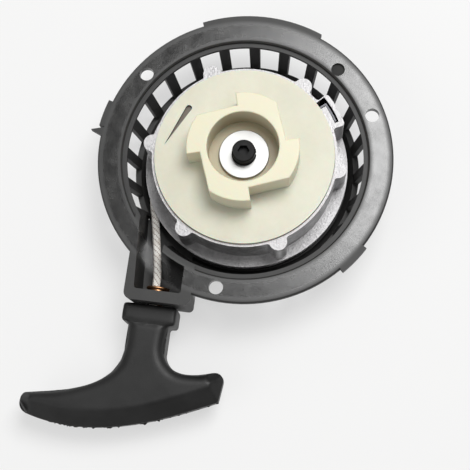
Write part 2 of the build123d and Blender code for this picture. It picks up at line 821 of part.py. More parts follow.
def make_handle():
    plane = box_frame(handle_back_height)
    grip = extrude(plane * grip_outline(), amount=handle_thickness)
    grip = fillet(grip.faces().sort_by(Axis.Z)[-1].edges(), grip_edge_radius)
    grip = fillet(grip.faces().sort_by(Axis.Z)[0].edges(), grip_edge_radius)
    collar_shape = Rectangle(2 * collar_half_width, collar_length)
    collar_shape = fillet(collar_shape.vertices(), collar_corner_radius)
    collar_place = Pos(0, -handle_front - collar_length / 2)
    collar = extrude(plane * (collar_place * collar_shape), amount=handle_thickness)
    collar = fillet(collar.faces().sort_by(Axis.Z)[-1].edges(), collar_edge_radius)
    body = grip + collar
    bore = Circle(rope_radius + rope_bore_clearance)
    bore_start = handle_front - overshoot
    bore_length = knot_pocket_front + overshoot - bore_start
    body -= extrude(pull_frame(bore_start) * bore, amount=bore_length)
    pocket = Rectangle(2 * knot_pocket_half_width, knot_pocket_length)
    pocket_place = Pos(0, -knot_pocket_front - knot_pocket_length / 2)
    depth = handle_thickness - knot_pocket_roof
    pocket_plane = box_frame(handle_back_height - overshoot)
    body -= extrude(pocket_plane * (pocket_place * pocket), amount=depth + overshoot)
    return body


def make_handle_washer():
    outline = Circle(knot_washer_radius) - Circle(rope_radius + running_clearance)
    return extrude(pull_frame(knot_pocket_front + rest_clearance) * outline, amount=knot_washer_thickness)


def make_handle_knot():
    start = knot_pocket_front + knot_washer_thickness + 2 * rest_clearance
    plane = pull_frame(start + knot_length / 2)
    knot = scale(Sphere(1), by=(knot_radius, knot_radius, knot_length / 2))
    rope_start = start - overshoot
    rope = extrude(pull_frame(rope_start) * Circle(rope_radius), amount=rope_end_distance - rope_start)
    return plane * knot - rope


write("housing", make_housing())
write("rope_eyelet", make_eyelet())
write("post_insert", make_insert())
write("post_sleeve", make_sleeve())
write("retaining_washer", make_washer())
write("lock_washer", make_lock_washer())
write("centre_screw", make_screw())
write("reel", make_reel())
write("main_spring", make_main_spring())
write("spring_cover", make_spring_cover())
for rivet_index in range(cover_rivet_count):
    write(f"cover_rivet_{rivet_index + 1}", make_cover_rivet(rivet_index))
write("rope_coil", make_rope_coil())
write("reel_rope_knot", make_reel_knot())
write("buffer_spring", make_buffer_spring())
write("driver_cup", make_driver())
write("rope_run_inner", make_rope_run_inner())
write("rope_run_outer", make_rope_run_outer())
write("handle_knot", make_handle_knot())
write("handle_rope_washer", make_handle_washer())
write("pull_handle", make_handle())
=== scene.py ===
import math
import bmesh
import bpy
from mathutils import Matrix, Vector


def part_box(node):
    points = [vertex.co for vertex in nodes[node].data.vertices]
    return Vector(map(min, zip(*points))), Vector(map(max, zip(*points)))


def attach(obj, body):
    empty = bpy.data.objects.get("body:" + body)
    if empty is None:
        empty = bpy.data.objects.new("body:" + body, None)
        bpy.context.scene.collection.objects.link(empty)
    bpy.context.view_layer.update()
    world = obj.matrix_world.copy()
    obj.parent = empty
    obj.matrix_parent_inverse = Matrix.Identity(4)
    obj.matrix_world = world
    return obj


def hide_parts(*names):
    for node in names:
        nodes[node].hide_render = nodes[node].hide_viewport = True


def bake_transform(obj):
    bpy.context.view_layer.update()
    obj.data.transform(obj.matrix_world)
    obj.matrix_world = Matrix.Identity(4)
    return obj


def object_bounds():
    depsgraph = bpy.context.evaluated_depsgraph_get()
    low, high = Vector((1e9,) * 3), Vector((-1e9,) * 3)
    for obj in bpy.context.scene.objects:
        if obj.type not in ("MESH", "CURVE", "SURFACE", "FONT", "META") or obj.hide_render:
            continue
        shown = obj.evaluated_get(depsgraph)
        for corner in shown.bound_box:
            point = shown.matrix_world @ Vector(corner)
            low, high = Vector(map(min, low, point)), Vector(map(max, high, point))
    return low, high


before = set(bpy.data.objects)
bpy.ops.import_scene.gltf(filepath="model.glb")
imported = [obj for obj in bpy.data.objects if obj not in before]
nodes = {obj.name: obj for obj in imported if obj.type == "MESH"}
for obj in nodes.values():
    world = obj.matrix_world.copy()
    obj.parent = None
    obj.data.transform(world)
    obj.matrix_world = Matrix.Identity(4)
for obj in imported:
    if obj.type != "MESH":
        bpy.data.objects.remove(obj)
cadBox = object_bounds()
mm = 0.001

# camera: looks down on the claws from beyond the handle
cameraSetup = {
    "aimX": -4.55 * mm,
    "aimY": -38.4 * mm,
    "eyeX": 21.45 * mm,
    "eyeY": -149.97 * mm,
    "eyeZ": 477.99 * mm,
    "lens": 79.93,
    "sensor": 36.0,
}

# studio: one softbox over the right shoulder of the part, a low fill and a pale world
studio = {
    "keyPlace": (0.31, 0.36, 1.05),
    "keySize": 0.62,
    "keyPower": 12.0,
    "fillPlace": (-0.75, -0.55, 0.7),
    "fillSize": 0.9,
    "fillPower": 3.0,
    "worldLevel": 0.27,
    "worldColour": (1.0, 0.995, 0.985, 1.0),
    "floorColour": (0.84, 0.84, 0.835, 1.0),
    "paperLevel": 0.93,
    "paperGlow": 0.62,
    "floorSize": 6.0,
    "floorGap": 0.2 * mm,
}


def makeCamera():
    eye = Vector((cameraSetup["eyeX"], cameraSetup["eyeY"], cameraSetup["eyeZ"]))
    aim = Vector((cameraSetup["aimX"], cameraSetup["aimY"], 0.0))
    back = (eye - aim).normalized()
    right = Vector((0, 1, 0)).cross(back).normalized()
    up = back.cross(right)
    data = bpy.data.cameras.new("camera")
    data.lens = cameraSetup["lens"]
    data.sensor_width = cameraSetup["sensor"]
    data.clip_start = 0.01
    camera = bpy.data.objects.new("camera", data)
    bpy.context.scene.collection.objects.link(camera)
    matrix = camera.matrix_world.copy()
    for row in range(3):
        matrix[row][0] = right[row]
        matrix[row][1] = up[row]
        matrix[row][2] = back[row]
        matrix[row][3] = eye[row]
    camera.matrix_world = matrix
    bpy.context.scene.camera = camera
    bpy.context.scene.view_settings.view_transform = "Standard"


def makeSoftbox(name, place, size, power):
    data = bpy.data.lights.new(name, "AREA")
    data.shape = "SQUARE"
    data.size = size
    data.energy = power
    lamp = bpy.data.objects.new(name, data)
    bpy.context.scene.collection.objects.link(lamp)
    lamp.location = place
    lamp.rotation_euler = Vector(place).to_track_quat("Z", "Y").to_euler()


def addNode(tree, kind, inputs=None, **settings):
    node = tree.nodes.new(kind)
    for key, value in settings.items():
        setattr(node, key, value)
    for key, value in (inputs or {}).items():
        if isinstance(value, bpy.types.NodeSocket):
            tree.links.new(value, node.inputs[key])
        else:
            node.inputs[key].default_value = value
    return node


def mathNode(tree, operation, first, second=0.0, third=0.0):
    return addNode(tree, "ShaderNodeMath", {0: first, 1: second, 2: third}, operation=operation).outputs[0]


def bandMask(tree, value, low, high):
    # 1 where a value lies between two limits
    above = mathNode(tree, "GREATER_THAN", value, low)
    below = mathNode(tree, "LESS_THAN", value, high)
    return mathNode(tree, "MULTIPLY", above, below)


def axisPlace(tree):
    # the X, Y and Z of a point on the piece, its flat place and its distance from the reel's axis
    place = addNode(tree, "ShaderNodeTexCoord").outputs["Object"]
    parts = addNode(tree, "ShaderNodeSeparateXYZ", {0: place}).outputs
    flat = addNode(tree, "ShaderNodeCombineXYZ", {"X": parts["X"], "Y": parts["Y"]}).outputs[0]
    radius = addNode(tree, "ShaderNodeVectorMath", {0: flat}, operation="LENGTH").outputs["Value"]
    return parts, flat, radius


def colourMix(tree, share, first, second):
    return addNode(tree, "ShaderNodeMix", {0: share, 6: first, 7: second}, data_type="RGBA").outputs[2]


def directMask(tree):
    # 1 for rays that come from the camera, a mirror or glass
    path = addNode(tree, "ShaderNodeLightPath").outputs
    glossy = mathNode(tree, "MAXIMUM", path["Is Camera Ray"], path["Is Glossy Ray"])
    return mathNode(tree, "MAXIMUM", glossy, path["Is Transmission Ray"])


def makeWorld():
    world = bpy.data.worlds.new("studioWorld")
    bpy.context.scene.world = world
    world.use_nodes = True
    tree = world.node_tree
    background = tree.nodes["Background"]
    background.inputs["Color"].default_value = studio["worldColour"]
    background.inputs["Strength"].default_value = studio["worldLevel"]


def makeFloor():
    size = studio["floorSize"]
    bottom = cadBox[0][2] - studio["floorGap"]
    mesh = bpy.data.meshes.new("floor")
    corners = [(-size, -size), (size, -size), (size, size), (-size, size)]
    mesh.from_pydata([(x, y, bottom) for x, y in corners], [], [(0, 1, 2, 3)])
    floor = bpy.data.objects.new("floor", mesh)
    bpy.context.scene.collection.objects.link(floor)
    material = bpy.data.materials.new("floorPaper")
    material.use_nodes = True
    tree = material.node_tree
    shader = tree.nodes["Principled BSDF"]
    shader.inputs["Base Color"].default_value = studio["floorColour"]
    shader.inputs["Roughness"].default_value = 0.9
    shader.inputs["Specular IOR Level"].default_value = 0.1
    level = studio["paperLevel"]
    glow = addNode(tree, "ShaderNodeEmission", {"Color": (level, level, level, 1.0), "Strength": 1.0})
    share = mathNode(tree, "MULTIPLY", directMask(tree), studio["paperGlow"])
    blend = addNode(tree, "ShaderNodeMixShader", {0: share, 1: shader.outputs[0], 2: glow.outputs[0]})
    tree.links.new(blend.outputs[0], tree.nodes["Material Output"].inputs["Surface"])
    mesh.materials.append(material)


def newMaterial(name, **sockets):
    material = bpy.data.materials.new(name)
    material.use_nodes = True
    shader = material.node_tree.nodes["Principled BSDF"]
    for key, value in sockets.items():
        shader.inputs[key.replace("_", " ")].default_value = value
    return material, material.node_tree, shader


def groupSocket(group, name, inOut, kind, value=None):
    socket = group.interface.new_socket(name, in_out=inOut, socket_type=kind)
    if value is not None:
        socket.default_value = value
    return socket


moulded = {
    "patchDetail": 6.0,
    "patchBreakup": 0.62,
    "grainDetail": 3.0,
    "grainBreakup": 0.6,
    "colourSpread": (0.32, 0.68),  # narrower gives harder patches
    "roughnessSpread": (0.3, 0.7),
}


# mottled colour and roughness with a fine raised grain, on Object coordinates
def makeGrainGroup():
    group = bpy.data.node_groups.new("mouldGrain", "ShaderNodeTree")
    groupSocket(group, "Light Colour", "INPUT", "NodeSocketColor", (0.8, 0.8, 0.8, 1))
    groupSocket(group, "Dark Colour", "INPUT", "NodeSocketColor", (0.4, 0.4, 0.4, 1))
    groupSocket(group, "Patch Scale", "INPUT", "NodeSocketFloat", 60.0)
    groupSocket(group, "Grain Scale", "INPUT", "NodeSocketFloat", 1500.0)
    groupSocket(group, "Low Roughness", "INPUT", "NodeSocketFloat", 0.35)
    groupSocket(group, "High Roughness", "INPUT", "NodeSocketFloat", 0.55)
    groupSocket(group, "Colour", "OUTPUT", "NodeSocketColor")
    groupSocket(group, "Roughness", "OUTPUT", "NodeSocketFloat")
    groupSocket(group, "Height", "OUTPUT", "NodeSocketFloat")
    given = group.nodes.new("NodeGroupInput")
    result = group.nodes.new("NodeGroupOutput")
    place = addNode(group, "ShaderNodeTexCoord").outputs["Object"]
    patches = addNode(group, "ShaderNodeTexNoise", {
        "Vector": place, "Scale": given.outputs["Patch Scale"],
        "Detail": moulded["patchDetail"], "Roughness": moulded["patchBreakup"]})
    grain = addNode(group, "ShaderNodeTexNoise", {
        "Vector": place, "Scale": given.outputs["Grain Scale"],
        "Detail": moulded["grainDetail"], "Roughness": moulded["grainBreakup"]})
    low, high = moulded["colourSpread"]
    spread = addNode(group, "ShaderNodeMapRange", {
        "Value": patches.outputs["Fac"], "From Min": low, "From Max": high})
    colour = colourMix(group, spread.outputs[0], given.outputs["Dark Colour"], given.outputs["Light Colour"])
    low, high = moulded["roughnessSpread"]
    rough = addNode(group, "ShaderNodeMapRange", {
        "Value": patches.outputs["Fac"], "From Min": low, "From Max": high,
        "To Min": given.outputs["Low Roughness"], "To Max": given.outputs["High Roughness"]})
    group.links.new(colour, result.inputs["Colour"])
    group.links.new(rough.outputs[0], result.inputs["Roughness"])
    group.links.new(grain.outputs["Fac"], result.inputs["Height"])
    return group


def grainMaterial(name, light, dark, patchScale, grainScale, roughness, bump, **sockets):
    material, tree, shader = newMaterial(name, **sockets)
    grain = tree.nodes.new("ShaderNodeGroup")
    grain.node_tree = grainGroup
    grain.inputs["Light Colour"].default_value = (*light, 1)
    grain.inputs["Dark Colour"].default_value = (*dark, 1)
    grain.inputs["Patch Scale"].default_value = patchScale
    grain.inputs["Grain Scale"].default_value = grainScale
    grain.inputs["Low Roughness"].default_value = roughness[0]
    grain.inputs["High Roughness"].default_value = roughness[1]
    raised = addNode(tree, "ShaderNodeBump", {"Strength": bump[0], "Distance": bump[1],
                                              "Height": grain.outputs["Height"]})
    tree.links.new(grain.outputs["Colour"], shader.inputs["Base Color"])
    tree.links.new(grain.outputs["Roughness"], shader.inputs["Roughness"])
    tree.links.new(raised.outputs["Normal"], shader.inputs["Normal"])
    return material


housingSkin = {
    "light": (0.012, 0.012, 0.011),
    "dark": (0.005, 0.005, 0.005),
    "bandMiddle": 64.8 * mm,  # middle of the flange's smooth band
    "bandInner": 2.6 * mm,
    "bandOuter": 6.2 * mm,
    "roughness": (0.17, 0.3),
    "edgeRoughness": 0.62,
    "dimple": (45.62 * mm, 43.59 * mm, 0.0),
    "dimpleRadius": 3.3 * mm,
    "dimpleRoughness": 0.85,
}


# black moulded nylon, glossier along the middle of the flange than at its edges
def makeBlackNylon():
    material = grainMaterial("blackNylon", housingSkin["light"], housingSkin["dark"], 150, 1500,
                             housingSkin["roughness"], (0.12, 0.0003), Specular_IOR_Level=0.85)
    tree = material.node_tree
    shader = tree.nodes["Principled BSDF"]
    smooth = shader.inputs["Roughness"].links[0].from_socket
    parts, flat, radius = axisPlace(tree)
    away = mathNode(tree, "ABSOLUTE", mathNode(tree, "SUBTRACT", radius, housingSkin["bandMiddle"]))
    edge = addNode(tree, "ShaderNodeMapRange", {
        "Value": away, "From Min": housingSkin["bandInner"], "From Max": housingSkin["bandOuter"]},
        interpolation_type="SMOOTHSTEP")
    worn = addNode(tree, "ShaderNodeMix", {0: edge.outputs[0], 2: smooth, 3: housingSkin["edgeRoughness"]})
    reach = addNode(tree, "ShaderNodeVectorMath", {0: flat, 1: housingSkin["dimple"]}, operation="DISTANCE")
    dimple = mathNode(tree, "LESS_THAN", reach.outputs["Value"], housingSkin["dimpleRadius"])
    final = addNode(tree, "ShaderNodeMix", {0: dimple, 2: worn.outputs[0], 3: housingSkin["dimpleRoughness"]})
    tree.links.new(final.outputs[0], shader.inputs["Roughness"])
    return material


nylon = {
    "faceLight": (0.70, 0.685, 0.57),
    "faceDark": (0.61, 0.595, 0.475),
    "clawTint": (0.765, 0.73, 0.54),
    # painted shade colour for the bore's deep wall and floor
    "boreShadeTint": (0.46, 0.39, 0.25),
    # painted shade colour for the slot recess below the disc's face
    "slotShadeTint": (0.14, 0.115, 0.09),
    "slotTop": 2.6 * mm,
    "slotBottom": 0.9 * mm,
    "slotInner": 30.0 * mm,
    "slotOuter": 42.0 * mm,
    "clawFrom": 2.9 * mm,  # height at which the warmer tint of the claws starts
    "clawFull": 8.0 * mm,
    "clawShare": 0.8,
    "boreRadius": 17.0 * mm,
    "boreTop": 16.8 * mm,  # the painted shade deepens from here down
    "boreDeep": 6.0 * mm,
    "boreShadeShares": (0.15, 0.85),
}


# undyed nylon: paler and greyer on the disc, warmer on the claws, with painted golden shade inside the bore that
# darkens with depth, and painted shade in the slot
def makeNaturalNylon():
    material = grainMaterial("naturalNylon", nylon["faceLight"], nylon["faceDark"], 40, 1700, (0.34, 0.5),
                             (0.1, 0.0002), Subsurface_Weight=0.35, Subsurface_Scale=0.004)
    tree = material.node_tree
    shader = tree.nodes["Principled BSDF"]
    face = shader.inputs["Base Color"].links[0].from_socket
    parts, flat, radius = axisPlace(tree)
    high = addNode(tree, "ShaderNodeMapRange", {
        "Value": parts["Z"], "From Min": nylon["clawFrom"], "From Max": nylon["clawFull"],
        "To Max": nylon["clawShare"]})
    warm = colourMix(tree, high.outputs[0], face, (*nylon["clawTint"], 1))
    # painted golden shade inside the bore, darker towards its bottom
    inside = mathNode(tree, "LESS_THAN", radius, nylon["boreRadius"])
    wall = addNode(tree, "ShaderNodeMapRange", {
        "Value": parts["Z"], "From Min": nylon["boreTop"], "From Max": nylon["boreDeep"],
        "To Min": nylon["boreShadeShares"][0], "To Max": nylon["boreShadeShares"][1]})
    boreShadeMask = mathNode(tree, "MULTIPLY", inside, wall.outputs[0])
    shadedBoreColour = colourMix(tree, boreShadeMask, warm, (*nylon["boreShadeTint"], 1))
    # painted shade on the floor and walls of the slot recess
    slotHeight = bandMask(tree, parts["Z"], nylon["slotBottom"], nylon["slotTop"])
    slotRing = bandMask(tree, radius, nylon["slotInner"], nylon["slotOuter"])
    slotShadeMask = mathNode(tree, "MULTIPLY", slotHeight, slotRing)
    final = colourMix(tree, slotShadeMask, shadedBoreColour, (*nylon["slotShadeTint"], 1))
    tree.links.new(final, shader.inputs["Base Color"])
    return material


casting = {
    "light": (0.66, 0.655, 0.66),
    "dark": (0.38, 0.375, 0.38),
    # painted shade colour for the spring pocket
    "pocketShadeTint": (0.02, 0.02, 0.022),
    "pocketInner": 45.6 * mm,
    "pocketOuter": 48.6 * mm,
    "pocketFrom": 18.0,  # degrees round the axis
    "pocketTo": 39.0,
    "pocketTop": 0.9 * mm,
    "pocketBottom": -16.0 * mm,
}


# rough sand-textured casting, with painted shade in the pocket that holds the spring's end
def makeCasting():
    material = grainMaterial("castAluminium", casting["light"], casting["dark"], 300, 800, (0.45, 0.7),
                             (0.6, 0.0006), Metallic=1.0)
    tree = material.node_tree
    shader = tree.nodes["Principled BSDF"]
    face = shader.inputs["Base Color"].links[0].from_socket
    parts, flat, radius = axisPlace(tree)
    angle = mathNode(tree, "DEGREES", mathNode(tree, "ARCTAN2", parts["Y"], parts["X"]))
    # painted shade in the pocket that holds the spring's end
    ring = bandMask(tree, radius, casting["pocketInner"], casting["pocketOuter"])
    span = bandMask(tree, angle, casting["pocketFrom"], casting["pocketTo"])
    height = bandMask(tree, parts["Z"], casting["pocketBottom"], casting["pocketTop"])
    pocketShadeMask = mathNode(tree, "MULTIPLY", mathNode(tree, "MULTIPLY", ring, span), height)
    tree.links.new(colourMix(tree, pocketShadeMask, face, (*casting["pocketShadeTint"], 1)), shader.inputs["Base Color"])
    return material


yarn = {
    "clean": (0.93, 0.91, 0.86, 1),
    "soiled": (0.74, 0.68, 0.61, 1),
    "tracer": (0.2, 0.12, 0.1, 1),
    "tracerEvery": 4.0,  # one strand in so many is a tracer
    "tracerShare": 0.62,
    "soilScale": 240.0,
    "fibreScale": 2600.0,
    "waveScale": 130.0,  # crossing ribs on the plain core
    "waveWobble": 0.4,
    # share of painted shade in the hollows between the ribs
    "gapShadeShare": 0.7,
}


# braided cord: pale yarn, with darker tracer strands where the piece has them, and painted shade in the hollows
# between the crossing ribs where it has none
def makeRopeMaterial(name, strands):
    material, tree, shader = newMaterial(name, Roughness=0.8, Sheen_Weight=0.15)
    place = addNode(tree, "ShaderNodeTexCoord").outputs["Object"]
    soil = addNode(tree, "ShaderNodeTexNoise", {"Vector": place, "Scale": yarn["soilScale"], "Detail": 3.0})
    dirty = addNode(tree, "ShaderNodeMapRange", {"Value": soil.outputs["Fac"], "From Min": 0.45, "From Max": 0.75})
    base = colourMix(tree, dirty.outputs[0], yarn["clean"], yarn["soiled"])
    if strands:
        fibres = addNode(tree, "ShaderNodeTexNoise", {"Vector": place, "Scale": yarn["fibreScale"], "Detail": 4.0})
        height = fibres.outputs["Fac"]
        strand = addNode(tree, "ShaderNodeAttribute", attribute_name="strand").outputs["Fac"]
        turnOf = mathNode(tree, "MODULO", strand, yarn["tracerEvery"])
        dark = mathNode(tree, "MULTIPLY", mathNode(tree, "LESS_THAN", turnOf, 0.5), yarn["tracerShare"])
    else:
        wave = {"Scale": yarn["waveScale"], "Distortion": yarn["waveWobble"]}
        mirrored = addNode(tree, "ShaderNodeMapping", {"Vector": place, "Scale": (-1.0, 1.0, 1.0)}).outputs[0]
        ribs = [addNode(tree, "ShaderNodeTexWave", {"Vector": side, **wave},
                        bands_direction="DIAGONAL").outputs["Fac"] for side in (place, mirrored)]
        height = mathNode(tree, "MAXIMUM", *ribs)
        # painted shade in the hollows between the crossing ribs, in the tracer colour
        dark = addNode(tree, "ShaderNodeMapRange", {"Value": height, "From Min": 0.15, "From Max": 0.5,
                                                    "To Min": yarn["gapShadeShare"], "To Max": 0.0}).outputs[0]
    raised = addNode(tree, "ShaderNodeBump", {"Strength": 0.5, "Distance": 0.3 * mm, "Height": height})
    tree.links.new(colourMix(tree, dark, base, yarn["tracer"]), shader.inputs["Base Color"])
    tree.links.new(raised.outputs["Normal"], shader.inputs["Normal"])
    return material


def linkObject(name, data):
    piece = bpy.data.objects.new(name, data)
    bpy.context.scene.collection.objects.link(piece)
    return piece


def curveObject(name, points, kind="POLY", resolution=1):
    data = bpy.data.curves.new(name, "CURVE")
    data.dimensions = "3D"
    data.resolution_u = resolution
    spline = data.splines.new(kind)
    spline.points.add(len(points) - 1)
    for place, point in zip(points, spline.points):
        point.co = (*place, 1.0)
    if kind == "NURBS":
        spline.order_u = 3
        spline.use_endpoint_u = True
    return linkObject(name, data)


def splineLine(points):
    # the points that a NURBS spline through a route gives
    source = curveObject("route", points, "NURBS", 24)
    graph = bpy.context.evaluated_depsgraph_get()
    mesh = bpy.data.meshes.new_from_object(source.evaluated_get(graph))
    line = [vertex.co.copy() for vertex in mesh.vertices]
    bpy.data.objects.remove(source)
    bpy.data.meshes.remove(mesh)
    return line


def setTreeInputs(modifier, values):
    for item in modifier.node_group.interface.items_tree:
        if item.item_type == "SOCKET" and item.in_out == "INPUT" and item.name in values:
            modifier[item.identifier] = values[item.name]


def treeToMesh(name, points, tree, values):
    # runs a node tree on a curve and keeps the result as a plain mesh
    source = curveObject(name + "Path", points)
    modifier = source.modifiers.new("tree", "NODES")
    modifier.node_group = tree
    setTreeInputs(modifier, values)
    graph = bpy.context.evaluated_depsgraph_get()
    mesh = bpy.data.meshes.new_from_object(source.evaluated_get(graph))
    mesh.name = name
    source.modifiers.remove(modifier)
    bpy.data.objects.remove(source)
    return linkObject(name, mesh)


def newTree(name):
    tree = bpy.data.node_groups.new(name, "GeometryNodeTree")
    groupSocket(tree, "Geometry", "INPUT", "NodeSocketGeometry")
    groupSocket(tree, "Geometry", "OUTPUT", "NodeSocketGeometry")
    return tree


def vectorNode(tree, operation, first, second=None, scale=None):
    inputs = {0: first}
    if second is not None:
        inputs[1] = second
    if scale is not None:
        inputs["Scale"] = scale
    return addNode(tree, "ShaderNodeVectorMath", inputs, operation=operation).outputs[0]


def finishTree(tree, skin, given):
    real = addNode(tree, "GeometryNodeRealizeInstances", {"Geometry": skin.outputs[0]})
    coated = addNode(tree, "GeometryNodeSetMaterial", {"Geometry": real.outputs[0], "Material": given["Material"]})
    tree.links.new(coated.outputs[0], tree.nodes.new("NodeGroupOutput").inputs["Geometry"])


# strands that wind both ways round a path and pass over and under each other
def makeBraidTree():
    tree = newTree("braidStrands")
    groupSocket(tree, "Strands", "INPUT", "NodeSocketInt", 16)
    groupSocket(tree, "Braid Radius", "INPUT", "NodeSocketFloat", 0.0015)
    groupSocket(tree, "Strand Radius", "INPUT", "NodeSocketFloat", 0.0004)
    groupSocket(tree, "Weave Depth", "INPUT", "NodeSocketFloat", 0.0002)
    groupSocket(tree, "Turns Per Metre", "INPUT", "NodeSocketFloat", 90.0)
    groupSocket(tree, "Step", "INPUT", "NodeSocketFloat", 0.0005)
    groupSocket(tree, "Material", "INPUT", "NodeSocketMaterial")
    given = tree.nodes.new("NodeGroupInput").outputs
    copies = addNode(tree, "GeometryNodeDuplicateElements",
                     {"Geometry": given["Geometry"], "Amount": given["Strands"]}, domain="SPLINE")
    marked = addNode(tree, "GeometryNodeStoreNamedAttribute", {
        "Geometry": copies.outputs["Geometry"], "Name": "strand", "Value": copies.outputs["Duplicate Index"]},
        data_type="FLOAT", domain="CURVE")
    cut = addNode(tree, "GeometryNodeResampleCurve", {"Curve": marked.outputs[0], "Length": given["Step"]},
                  mode="LENGTH")
    strand = addNode(tree, "GeometryNodeInputNamedAttribute", {"Name": "strand"}, data_type="FLOAT").outputs[0]
    along = addNode(tree, "GeometryNodeSplineParameter").outputs["Length"]
    way = mathNode(tree, "MULTIPLY_ADD", mathNode(tree, "MODULO", strand, 2.0), 2.0, -1.0)
    pair = mathNode(tree, "FLOOR", mathNode(tree, "DIVIDE", strand, 2.0))
    share = mathNode(tree, "DIVIDE", mathNode(tree, "MULTIPLY", pair, 4.0 * math.pi), given["Strands"])
    turns = mathNode(tree, "MULTIPLY", along, given["Turns Per Metre"])
    turn = mathNode(tree, "MULTIPLY", turns, 2.0 * math.pi)
    angle = mathNode(tree, "MULTIPLY_ADD", turn, way, share)
    crossing = mathNode(tree, "MULTIPLY", turn, mathNode(tree, "DIVIDE", given["Strands"], 4.0))
    phase = mathNode(tree, "ADD", crossing, mathNode(tree, "MULTIPLY", pair, math.pi))
    weave = mathNode(tree, "MULTIPLY", mathNode(tree, "SINE", phase), way)
    radius = mathNode(tree, "ADD", given["Braid Radius"], mathNode(tree, "MULTIPLY", weave, given["Weave Depth"]))
    normal = addNode(tree, "GeometryNodeInputNormal").outputs[0]
    tangent = addNode(tree, "GeometryNodeInputTangent").outputs[0]
    side = vectorNode(tree, "CROSS_PRODUCT", tangent, normal)
    out = vectorNode(tree, "ADD", vectorNode(tree, "SCALE", normal, scale=mathNode(tree, "COSINE", angle)),
                     vectorNode(tree, "SCALE", side, scale=mathNode(tree, "SINE", angle)))
    moved = addNode(tree, "GeometryNodeSetPosition", {
        "Geometry": cut.outputs[0], "Offset": vectorNode(tree, "SCALE", out, scale=radius)})
    profile = addNode(tree, "GeometryNodeCurvePrimitiveCircle",
                      {"Resolution": 6, "Radius": given["Strand Radius"]}, mode="RADIUS")
    skin = addNode(tree, "GeometryNodeCurveToMesh", {
        "Curve": moved.outputs[0], "Profile Curve": profile.outputs[0], "Fill Caps": True})
    finishTree(tree, skin, given)
    return tree


# a thin torn lip of moulding flash along a line, ragged towards one side
def makeFlashTree():
    tree = newTree("mouldFlash")
    groupSocket(tree, "Thickness", "INPUT", "NodeSocketFloat", 0.0003)
    groupSocket(tree, "Reach", "INPUT", "NodeSocketFloat", 0.0012)
    groupSocket(tree, "Raggedness", "INPUT", "NodeSocketFloat", 900.0)
    groupSocket(tree, "Step", "INPUT", "NodeSocketFloat", 0.0004)
    groupSocket(tree, "Seed", "INPUT", "NodeSocketFloat", 1.0)
    groupSocket(tree, "Material", "INPUT", "NodeSocketMaterial")
    given = tree.nodes.new("NodeGroupInput").outputs
    cut = addNode(tree, "GeometryNodeResampleCurve", {"Curve": given["Geometry"], "Length": given["Step"]},
                  mode="LENGTH")
    place = addNode(tree, "GeometryNodeInputPosition").outputs[0]
    torn = addNode(tree, "ShaderNodeTexNoise", {
        "Vector": place, "W": given["Seed"], "Scale": given["Raggedness"], "Detail": 3.0, "Roughness": 0.7},
        noise_dimensions="4D").outputs[0]
    size = addNode(tree, "ShaderNodeMapRange", {
        "Value": torn, "From Min": 0.42, "From Max": 0.72, "To Min": 0.08, "To Max": 1.0}).outputs[0]
    wide = addNode(tree, "GeometryNodeSetCurveRadius", {"Curve": cut.outputs[0], "Radius": size})
    profile = addNode(tree, "GeometryNodeCurvePrimitiveQuadrilateral",
                      {"Width": given["Reach"], "Height": given["Thickness"]}, mode="RECTANGLE")
    skin = addNode(tree, "GeometryNodeCurveToMesh", {
        "Curve": wide.outputs[0], "Profile Curve": profile.outputs[0], "Scale": size, "Fill Caps": True})
    finishTree(tree, skin, given)
    return tree


def smoothLine(points, steps):
    # Catmull-Rom curve through a few points
    ends = [points[0] * 2 - points[1]] + list(points) + [points[-1] * 2 - points[-2]]
    line = []
    for index in range(1, len(ends) - 2):
        before, start, end, after = ends[index - 1:index + 3]
        for step in range(steps):
            t = step / steps
            line.append(0.5 * (2 * start + (end - before) * t + (2 * before - 5 * start + 4 * end - after) * t ** 2
                               + (3 * start - before - 3 * end + after) * t ** 3))
    line.append(points[-1])
    return line


def lineDistance(point, line):
    best = 1.0
    for start, end in zip(line, line[1:]):
        run = end - start
        share = max(0.0, min(1.0, (point - start).dot(run) / max(run.length_squared, 1e-12)))
        best = min(best, (point - start - run * share).length)
    return best


pullLine = {"exitX": -44.9 * mm, "exitY": -68.3 * mm, "angle": math.radians(7.6)}
acrossPull = Vector((math.cos(pullLine["angle"]), -math.sin(pullLine["angle"]), 0))
alongPull = Vector((-math.sin(pullLine["angle"]), -math.cos(pullLine["angle"]), 0))


def pullPlace(across, along, height):
    # a place in the rope box's frame: across the pull, along the pull, and the height
    mouth = Vector((pullLine["exitX"], pullLine["exitY"], height))
    return mouth + acrossPull * across + alongPull * along


rope = {
    "radius": 2.0 * mm,
    "exitHeight": -16.5 * mm,
    "bend": (-42.92 * mm, -53.43 * mm, -16.5 * mm),  # where the rope straightens towards the eyelet
    "riseLength": 24 * mm,  # level run off the reel before it climbs
    "straightLength": 6 * mm,
    "strands": 16,
    "braidRadius": 1.52 * mm,
    "strandRadius": 0.46 * mm,
    "weaveDepth": 0.14 * mm,
    "turnsPerMetre": 84.0,
    "step": 0.3 * mm,
    "tailRings": 64,
    "tailSides": 24,
    "tailStart": 1.0 * mm,
    "tailLength": 21 * mm,
    "stretchStart": 2.4 * mm,
    "stretchEnd": 5.5 * mm,
}


def ropeRoute():
    low, high = (Vector(corner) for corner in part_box("rope_run_inner"))
    start = Vector((low.x + rope["radius"], high.y, low.z + rope["radius"]))
    bend = Vector(rope["bend"])
    level = Vector((bend.x - start.x, bend.y - start.y, 0)).normalized()
    rise = start + level * rope["riseLength"]
    straight = pullPlace(0, -rope["straightLength"], rope["exitHeight"])
    return [start, rise, bend, straight, pullPlace(0, 0, rope["exitHeight"])]


def makeRopeRun():
    values = {"Strands": rope["strands"], "Braid Radius": rope["braidRadius"],
              "Strand Radius": rope["strandRadius"], "Weave Depth": rope["weaveDepth"],
              "Turns Per Metre": rope["turnsPerMetre"], "Step": rope["step"], "Material": ropeCord}
    run = treeToMesh("ropeRun", splineLine(ropeRoute()), braidTree, values)
    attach(run, "housing")
    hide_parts("rope_run_inner")


